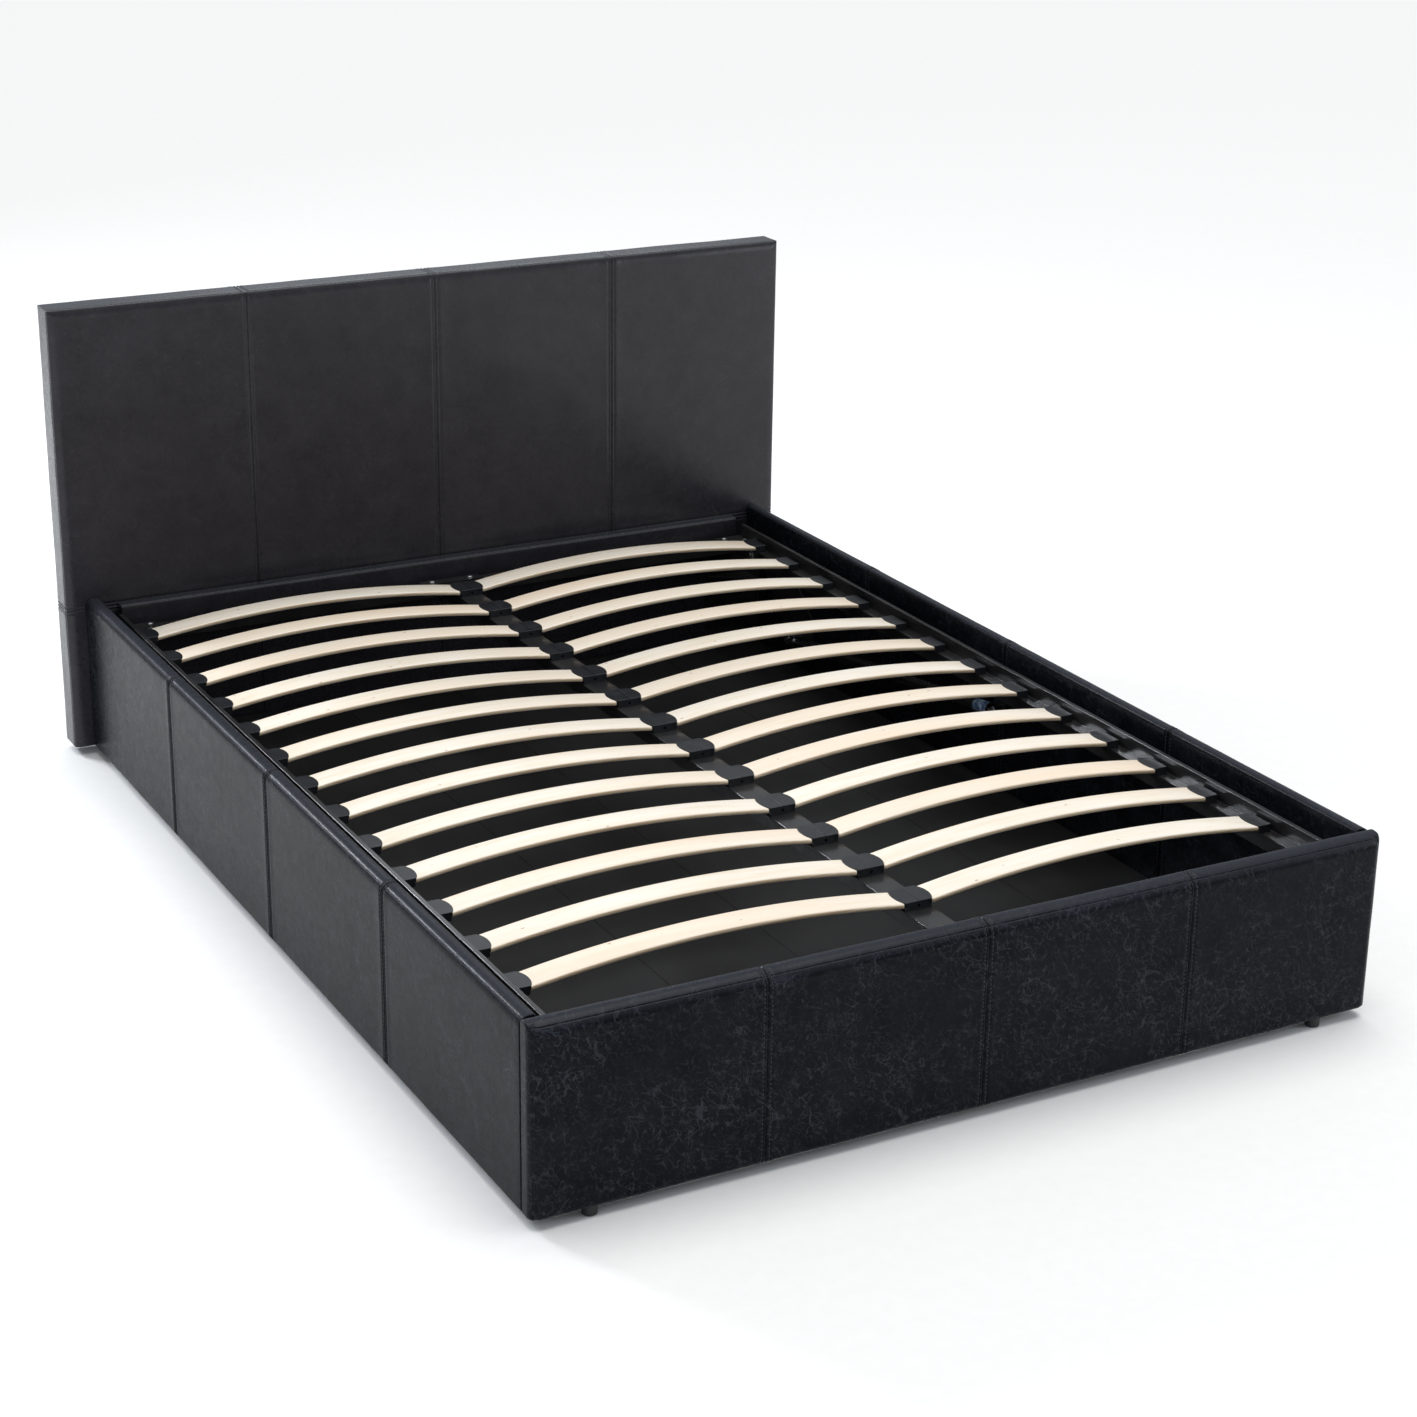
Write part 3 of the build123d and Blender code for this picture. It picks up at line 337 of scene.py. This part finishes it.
def plastic_paint(name, base, light, rough, grain=700.0):
    """Moulded plastic with a fine spark-eroded texture and faint flow marks."""
    paint = Paint(name, roughness=rough)
    flow = paint.noise(30.0, 4.0, distortion=0.8)
    paint.set("Base Color", paint.ramp(flow, [(0.3, base), (0.8, light)]))
    paint.set("Roughness", paint.sum(paint.sum(flow, 0.18, "MULTIPLY"), rough - 0.08, "ADD"))
    paint.set("Normal", paint.bump(paint.noise(grain, 2.0), 0.05 * MM, 0.5))
    return paint.material


def band_paint():
    """Blue foil sleeve with uneven pale patches and no lettering."""
    paint = Paint("band_blue", roughness=0.3)
    patches = paint.noise(95.0, 2.0, distortion=0.5)
    paint.set("Base Color", paint.ramp(patches, [(0.42, (0.07, 0.12, 0.24)), (0.52, (0.22, 0.34, 0.52)),
                                                 (0.62, (0.62, 0.72, 0.84))]))
    return paint.material


def board_paint(name, dark, light, rough, stretch):
    """Wood or board with a grain that follows the given stretch."""
    paint = Paint(name, roughness=rough)
    grain = paint.noise(20.0, 6.0, paint.space(stretch), distortion=0.4)
    chips = paint.noise(300.0, 3.0)
    mixed = paint.mix(0.25, paint.ramp(grain, [(0.3, dark), (0.7, light)]),
                      paint.ramp(chips, [(0.35, dark), (0.65, light)]))
    paint.set("Base Color", mixed)
    paint.set("Normal", paint.bump(grain, 0.1 * MM, 0.4))
    return paint.material


def foam_paint():
    """Open-cell foam."""
    paint = Paint("foam", roughness=0.95)
    pores = paint.cells(600.0, "F1")
    paint.set("Base Color", paint.ramp(pores, [(0.1, (0.50, 0.47, 0.36)), (0.6, (0.85, 0.82, 0.70))]))
    paint.set("Normal", paint.bump(pores, 0.5 * MM, 0.6))
    return paint.material


def cad_paints():
    """One material for each of the record's slots that CAD pieces use."""
    return {
        "leather": LEATHER_RAIL,
        "foam": foam_paint(),
        "board": board_paint("particle_board", (0.36, 0.26, 0.16), (0.58, 0.45, 0.30), 0.8, (1.0, 1.0, 1.0)),
        "birch": BIRCH,
        "holder_plastic": plastic_paint("holder_plastic", (0.009, 0.010, 0.012), (0.022, 0.023, 0.027), 0.30),
        "strut_black": plastic_paint("strut_black", (0.006, 0.006, 0.007), (0.014, 0.014, 0.015), 0.28),
        "rod_chrome": plated_paint("rod_chrome", (0.82, 0.83, 0.85), 0.08),
        "band_blue": band_paint(),
        "floor_black": board_paint("floor_black", (0.006, 0.006, 0.0065), (0.013, 0.013, 0.014), 0.42,
                                   (1.0, 0.12, 1.0)),
        "batten": board_paint("batten", (0.42, 0.30, 0.17), (0.62, 0.47, 0.30), 0.7, (4.0, 0.5, 4.0)),
        "glide_plastic": plastic_paint("glide_plastic", (0.012, 0.012, 0.012), (0.022, 0.022, 0.022), 0.5),
        "rubber": plastic_paint("rubber", (0.014, 0.014, 0.014), (0.026, 0.026, 0.026), 0.75),
        "nylon": plastic_paint("nylon", (0.55, 0.54, 0.49), (0.68, 0.67, 0.62), 0.45),
        "zinc": plated_paint("zinc", (0.70, 0.71, 0.73), 0.25),
        "steel_black": steel_paint("steel_black", (0.010, 0.010, 0.011), (0.030, 0.029, 0.029), 0.30),
    }


def paint_cad(paints):
    """Give every CAD node the procedural material of its slot."""
    for entry in frame["record"]["subparts"]:
        mesh = frame["nodes"][entry["node"]].data
        mesh.materials.clear()
        mesh.materials.append(paints[entry["material_slot"]])


# ---------------------------------------------------------------- upholstered panels

EDGE_TURN = 4
GRID_STEP = 14 * MM
CREASE_DEPTH = 1.9 * MM
CREASE_WIDTH = 1.0 * MM
STITCH_OFFSET = 6.0 * MM
STITCH_PITCH = 6.6 * MM
STITCH_LENGTH = 4.6 * MM
STITCH_RADIUS = 0.80 * MM
SEAM_OFFSETS = [0.0, 0.7, 1.4, 2.2, 3.2, 4.4, 5.2, 6.0, 6.8, 7.8, 9.5, 12.5, 17.0]


class Panel:
    """A padded, stitched skin over a flat-sided box.

    along is the panel's long axis (0 or 1) and across the axis of its thickness. corners lists
    (side of across, side of Z, radius) for the soft long edges and ends is the radius of the upright
    front edges. seams are places along the long axis and levels are heights. pillow is the depth and width of the puffed front inside a sewn edge.
    """

    def __init__(self, name, low, high, along, corners, seams, levels=(), pillow=None, edge=3 * MM,
                 wave=0.7 * MM, ends=0.0):
        self.name, self.low, self.high = name, Vector(low), Vector(high)
        self.along, self.across = along, 1 - along
        self.corners, self.seams, self.levels = corners, seams, levels
        self.pillow, self.edge, self.wave, self.ends = pillow, edge, wave, ends

    def ticks(self, axis):
        """Grid places along one axis: even, and finer at soft edges, sewn edges and seams."""
        low, high = self.low[axis], self.high[axis]
        count = max(4, round((high - low) / GRID_STEP))
        places = [low + (high - low) * step / count for step in range(1, count)]
        fixed = [low, high]
        for step in range(EDGE_TURN):
            inset = self.edge * (1 - math.tan(math.pi / 4 * step / EDGE_TURN))
            fixed += [low + inset, high - inset]
        bands = [radius for _, _, radius in self.corners] if axis != self.along else []
        if self.ends and axis != 2:
            bands.append(self.ends)
        if self.pillow and axis != self.across:
            bands.append(self.pillow[1])
        for radius in bands:
            for step in range(1, 9):
                inset = radius * step / 8
                fixed += [low + inset, high - inset]
        centres = self.seams if axis == self.along else self.levels if axis == 2 else ()
        for centre in centres:
            for offset in SEAM_OFFSETS:
                fixed += [centre - offset * MM, centre + offset * MM]
        fixed = sorted(place for place in fixed if low <= place <= high)
        kept = [low]
        for place in fixed[1:-1]:
            if place - kept[-1] > 0.3 * MM and high - place > 0.3 * MM:
                kept.append(place)
        kept.append(high)
        kept += [place for place in places if min(abs(place - near) for near in kept) > 4 * MM]
        return sorted(kept)

    def seam_depth(self, point):
        """Height of the stitched seams at a point: a sharp crease with a low swell each side."""
        depth = 0.0
        gaps = [point[self.along] - seam for seam in self.seams] + [point[2] - level for level in self.levels]
        for gap in gaps:
            away = abs(gap)
            if away < 25 * MM:
                depth -= CREASE_DEPTH * math.exp(-(away / CREASE_WIDTH) ** 2)
                depth -= 0.9 * MM * math.exp(-((away - STITCH_OFFSET) / (1.1 * MM)) ** 2)
                depth += 0.6 * MM * math.exp(-((away - 3.2 * MM) / (1.6 * MM)) ** 2)
                depth += 0.5 * MM * math.exp(-((away - 11 * MM) / (3.5 * MM)) ** 2)
        return depth

    def wander(self, point):
        """Slow unevenness of the padding, calmer beside a seam."""
        gaps = [abs(point[self.along] - seam) for seam in self.seams]
        calm = min(1.0, min(gaps + [1.0]) / (30 * MM))
        slow = noise.noise(point * 7.0) + 0.5 * noise.noise(point * 19.0)
        return self.wave * slow * (0.25 + 0.75 * calm)

    def drop(self, point):
        """How far the puffed front falls back towards its sewn edges."""
        depth, width = self.pillow
        gap = min(point[self.along] - self.low[self.along], self.high[self.along] - point[self.along],
                  self.high[2] - point[2])
        inside = min(1.0, max(0.0, gap / width))
        return depth * (1 - math.sqrt(1 - (1 - inside) ** 2))

    def place(self, point):
        """The padded surface's point for a point on the flat-sided box."""
        inner = Vector([min(max(point[i], self.low[i] + self.edge), self.high[i] - self.edge) for i in range(3)])
        out = (point - inner).normalized()
        made = inner + out * (self.edge + self.seam_depth(point) + self.wander(point) - self.wave)
        if self.pillow:
            back = self.high[self.across]
            front = self.low[self.across]
            share = (back - made[self.across]) / (back - front)
            made[self.across] += self.drop(point) * max(0.0, share)
        for side, upper, radius in self.corners:
            made = self.soften(made, (self.across, 2), (side, upper), radius)
        if self.ends:
            for side in (-1, 1):
                made = self.soften(made, (self.across, self.along), (-1, side), self.ends)
        return made

    def soften(self, point, axes, sides, radius):
        """Round one edge: the square corner of the section becomes a quarter circle."""
        centres = [self.high[axis] - radius if side > 0 else self.low[axis] + radius
                   for axis, side in zip(axes, sides)]
        gaps = [(point[axis] - centre) * side for axis, centre, side in zip(axes, centres, sides)]
        if min(gaps) <= 0:
            return point
        scale = max(gaps) / math.hypot(*gaps)
        rounded = point.copy()
        for axis, centre, gap, side in zip(axes, centres, gaps, sides):
            rounded[axis] = centre + gap * scale * side
        return rounded

    def mesh(self):
        """Closed mesh of the whole skin."""
        lines = [self.ticks(axis) for axis in range(3)]
        index, points, faces = {}, [], []

        def vertex(point):
            key = tuple(round(part, 6) for part in point)
            if key not in index:
                index[key] = len(points)
                points.append(self.place(Vector(point)))
            return index[key]

        for axis in range(3):
            first, second = [other for other in range(3) if other != axis]
            for end in (0, -1):
                for i in range(len(lines[first]) - 1):
                    for j in range(len(lines[second]) - 1):
                        ring = []
                        for di, dj in ((0, 0), (1, 0), (1, 1), (0, 1)):
                            corner = [0.0, 0.0, 0.0]
                            corner[axis] = lines[axis][end]
                            corner[first] = lines[first][i + di]
                            corner[second] = lines[second][j + dj]
                            ring.append(vertex(corner))
                        forward = (end == -1) == (axis != 1)
                        faces.append(ring if forward else ring[::-1])
        return points, faces

    def path(self, seam, offset):
        """Points over the front, top and back of the skin, beside an upright seam."""
        low_b, high_b = self.low[2] + 8 * MM, self.high[2]
        front, back = self.low[self.across], self.high[self.across]
        if self.across == 0 and self.low[0] < 0:
            front, back = back, front
        if self.across == 0:
            front, back = back, front
        steps = [(front, low_b + (high_b - low_b) * i / 160) for i in range(160)]
        steps += [(front + (back - front) * i / 24, high_b) for i in range(24)]
        steps += [(back, high_b + (low_b - high_b) * i / 160) for i in range(161)]
        made = []
        for across, height in steps:
            point = Vector((0, 0, height))
            point[self.across] = across
            point[self.along] = seam + offset
            made.append(self.place(point))
        return made

    def level_path(self, level, offset):
        """Points along a level seam, over the left end, front and right end."""
        ends = (self.low[self.along], self.high[self.along])
        front, back = self.low[self.across], self.high[self.across]
        steps = [(ends[0], back + (front - back) * i / 12) for i in range(12)]
        steps += [(ends[0] + (ends[1] - ends[0]) * i / 240, front) for i in range(240)]
        steps += [(ends[1], front + (back - front) * i / 12) for i in range(13)]
        made = []
        for along, across in steps:
            point = Vector((0, 0, level + offset))
            point[self.across] = across
            point[self.along] = along
            made.append(self.place(point))
        return made

    def build(self, paint, replaced):
        """The finished skin, which stands for the panel's leather and foam."""
        points, faces = self.mesh()
        piece = add_mesh(self.name, points, faces, paint)
        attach(piece, "bed_frame")
        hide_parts(*replaced)
        return piece


def add_mesh(name, points, faces, paint, smooth=True):
    """New mesh object with one material."""
    mesh = bpy.data.meshes.new(name)
    mesh.from_pydata([tuple(point) for point in points], [], faces)
    mesh.validate()
    mesh.materials.append(paint)
    mesh.polygons.foreach_set("use_smooth", [smooth] * len(mesh.polygons))
    mesh.update()
    piece = bpy.data.objects.new(name, mesh)
    bpy.context.scene.collection.objects.link(piece)
    return piece


# ---------------------------------------------------------------- stitches

STITCH_SIDES = 6
STITCH_RINGS = [(-0.5, 0.25, -0.9), (-0.36, 0.9, 0.0), (0.0, 1.0, 0.35), (0.36, 0.9, 0.0), (0.5, 0.25, -0.9)]


def stitches_along(path, wide, centre, points, faces):
    """Add a row of thread stitches along a path; wide is the seam's cross direction."""
    lengths = [0.0]
    for first, second in zip(path, path[1:]):
        lengths.append(lengths[-1] + (second - first).length)
    count = int(lengths[-1] / STITCH_PITCH)
    segment = 0
    for number in range(count):
        target = (number + 0.5) * STITCH_PITCH
        while lengths[segment + 1] < target:
            segment += 1
        share = (target - lengths[segment]) / max(1e-9, lengths[segment + 1] - lengths[segment])
        middle = path[segment].lerp(path[segment + 1], share)
        ahead = (path[segment + 1] - path[segment]).normalized()
        out = ahead.cross(wide).normalized()
        if out.dot(middle - centre) < 0:
            out = -out
        across = out.cross(ahead)
        base = len(points)
        for reach, girth, lift in STITCH_RINGS:
            hub = middle + ahead * reach * STITCH_LENGTH + out * lift * STITCH_RADIUS
            for side in range(STITCH_SIDES):
                turn = 2 * math.pi * side / STITCH_SIDES
                spoke = across * math.cos(turn) + out * math.sin(turn)
                points.append(hub + spoke * girth * STITCH_RADIUS)
        for ring in range(len(STITCH_RINGS) - 1):
            for side in range(STITCH_SIDES):
                next_side = (side + 1) % STITCH_SIDES
                a, b = base + ring * STITCH_SIDES + side, base + ring * STITCH_SIDES + next_side
                faces.append((a, b, b + STITCH_SIDES, a + STITCH_SIDES))
        faces.append(tuple(base + side for side in reversed(range(STITCH_SIDES))))
        last = base + (len(STITCH_RINGS) - 1) * STITCH_SIDES
        faces.append(tuple(last + side for side in range(STITCH_SIDES)))


def stitch_panel(panel, paint):
    """Both stitch rows of every seam of a panel, as one piece."""
    points, faces = [], []
    long_way, centre = Vector((0, 0, 0)), (panel.low + panel.high) / 2
    long_way[panel.along] = 1.0
    for seam in panel.seams:
        for offset in (-STITCH_OFFSET, STITCH_OFFSET):
            path = panel.path(seam, offset)
            heart = centre.copy()
            heart[panel.along] = seam
            stitches_along(path, long_way, heart, points, faces)
    for level in panel.levels:
        for offset in (-STITCH_OFFSET, STITCH_OFFSET):
            path = panel.level_path(level, offset)
            heart = centre.copy()
            heart[2] = level
            stitches_along(path, Vector((0, 0, 1)), heart, points, faces)
    piece = add_mesh(panel.name + "_stitches", points, faces, paint)
    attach(piece, "bed_frame")


def make_panels():
    """Skins and stitches of the headboard, footboard, side rails and head strip."""
    thread = thread_paint()
    low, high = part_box("footboard_leather")
    quarter = (high.x - low.x) / 4
    foot = Panel("footboard_skin", low, high, 0, [(-1, 1, 24 * MM), (1, 1, 9 * MM), (-1, -1, 9 * MM)],
                 [-quarter, 0.0, quarter], edge=4 * MM, wave=0.6 * MM, ends=18 * MM)
    foot.build(LEATHER_FOOT_PAINTED_SHADE, ["footboard_leather", "footboard_foam"])
    stitch_panel(foot, thread)
    low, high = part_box("headboard_leather")
    quarter = (high.x - low.x) / 4
    head = Panel("headboard_skin", low, high, 0, [], [-quarter, 0.0, quarter],
                 levels=[low.z + 0.270], pillow=(9 * MM, 20 * MM), edge=2.5 * MM, wave=0.8 * MM)
    head.build(LEATHER_HEAD_PAINTED_LIGHT, ["headboard_leather", "headboard_foam"])
    stitch_panel(head, thread)
    for side, sign in (("left", -1), ("right", 1)):
        low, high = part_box(f"side_rail_leather_{side}")
        span = high.y - low.y
        seams = [low.y + span * share for share in (0.247, 0.5, 0.749)]
        rail = Panel(f"side_rail_skin_{side}", low, high, 1,
                     [(sign, 1, 16 * MM), (-sign, 1, 8 * MM), (sign, -1, 5 * MM)], seams,
                     edge=2 * MM, wave=0.35 * MM)
        rail.build(LEATHER_RAIL, [f"side_rail_leather_{side}", f"side_rail_foam_{side}"])
        stitch_panel(rail, thread)
    low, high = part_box("head_strip_leather")
    strip = Panel("head_strip_skin", low, high, 0, [(-1, 1, 6 * MM), (-1, -1, 5 * MM)], [], edge=3 * MM,
                  wave=0.5 * MM)
    strip.build(LEATHER_HEAD_PAINTED_LIGHT, ["head_strip_leather"])


# ---------------------------------------------------------------- slats

SLAT_TONGUE_HALF = 21 * MM
SLAT_CORNER = 4 * MM
SLAT_EDGE_RADIUS = 3.2 * MM
SLAT_TONGUE = 15 * MM
SLAT_STATIONS = 34


def slat_half_width(distance_in, half):
    """Half width of a slat at a distance from its end: a tongue, a rounded shoulder, then full."""
    past = distance_in - SLAT_TONGUE
    if past <= 0:
        return SLAT_TONGUE_HALF
    if past >= SLAT_CORNER:
        return half
    rise = math.sqrt(max(0.0, 1 - (1 - past / SLAT_CORNER) ** 2))
    return SLAT_TONGUE_HALF + (half - SLAT_TONGUE_HALF) * rise


def slat_ring(x, y, middle_z, half, half_thick):
    """Rounded section of a slat across its length."""
    ring = []
    radius = min(SLAT_EDGE_RADIUS, half_thick - 0.1 * MM)
    for corner_y, corner_z, start in ((1, 1, 0), (-1, 1, 90), (-1, -1, 180), (1, -1, 270)):
        for step in range(4):
            turn = math.radians(start + 30 * step)
            ring.append((x, y + corner_y * (half - radius) + radius * math.cos(turn),
                         middle_z + corner_z * (half_thick - radius) + radius * math.sin(turn)))
    return ring


def make_slat(name, x_range, y, z_ends, thick, camber, half):
    """One pressed slat between the holders; x_range runs from its inner to its outer end."""
    inner, outer = x_range
    span = outer - inner
    sagitta = camber
    radius = (span * span / 4 + sagitta * sagitta) / (2 * sagitta)
    fine = [0.0, SLAT_TONGUE] + [SLAT_TONGUE + SLAT_CORNER * step / 6 for step in range(1, 7)]
    first, last = fine[-1] + 8 * MM, abs(span) - fine[-1] - 8 * MM
    inside = [first + (last - first) * step / SLAT_STATIONS for step in range(SLAT_STATIONS + 1)]
    stations = fine + inside + [abs(span) - place for place in reversed(fine)]
    points, faces = [], []
    for place in stations:
        x = inner + math.copysign(place, span)
        from_middle = place - abs(span) / 2
        rise = math.sqrt(radius * radius - from_middle * from_middle) - (radius - sagitta)
        width = slat_half_width(min(place, abs(span) - place), half)
        points += slat_ring(x, y, z_ends + rise, width, thick / 2)
    size = 16
    for ring in range(len(stations) - 1):
        for side in range(size):
            a, b = ring * size + side, ring * size + (side + 1) % size
            faces.append((a, b, b + size, a + size))
    faces.append(tuple(reversed(range(size))))
    faces.append(tuple((len(stations) - 1) * size + side for side in range(size)))
    if span < 0:
        faces = [face[::-1] for face in faces]
    piece = add_mesh(name, points, faces, BIRCH)
    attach(piece, "platform")
    return piece


def make_slats():
    """Every slat, over the places of the CAD slats."""
    thick, camber = 8 * MM, 26 * MM
    pairs = sorted(name for name in frame["nodes"] if name.startswith("slat_pair_"))
    for node in pairs:
        low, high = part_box(node)
        y, half = (low.y + high.y) / 2, (high.y - low.y) / 2
        inner = min(abs(vertex.co.x) for vertex in frame["nodes"][node].data.vertices)
        z_ends = low.z + thick / 2
        for side, sign in (("left", -1), ("right", 1)):
            name = node.replace("pair", side)
            piece = make_slat(name, (sign * inner, sign * high.x), y, z_ends, thick, camber, half)
            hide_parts(node)


# ---------------------------------------------------------------- the whole scene

# Three copies of one leather whose base brightness is painted light: the footboard copy is darker as painted
# shade, the headboard copy (also on the head strip) lighter as painted reflection, and the rail copy in between;
# their differing tints are their own.
LEATHER_FOOT_PAINTED_SHADE = leather_paint("leather_foot_painted_shade", (0.0014, 0.0018, 0.0036), (0.0062, 0.0072, 0.0110),
                             (0.034, 0.038, 0.048), 0.85, 0.085)
LEATHER_RAIL = leather_paint("leather_rail", (0.0032, 0.0036, 0.0052), (0.0090, 0.0098, 0.0130),
                             (0.036, 0.040, 0.050), 0.60, 0.055)
LEATHER_HEAD_PAINTED_LIGHT = leather_paint("leather_head_painted_light", (0.0190, 0.0175, 0.0225), (0.0305, 0.0283, 0.0345),
                             (0.062, 0.058, 0.066), 0.30, 0.34)
BIRCH = birch_paint()

make_camera()
make_lights()
make_floor()
paint_cad(cad_paints())
make_panels()
make_slats()

bpy.context.view_layer.update()
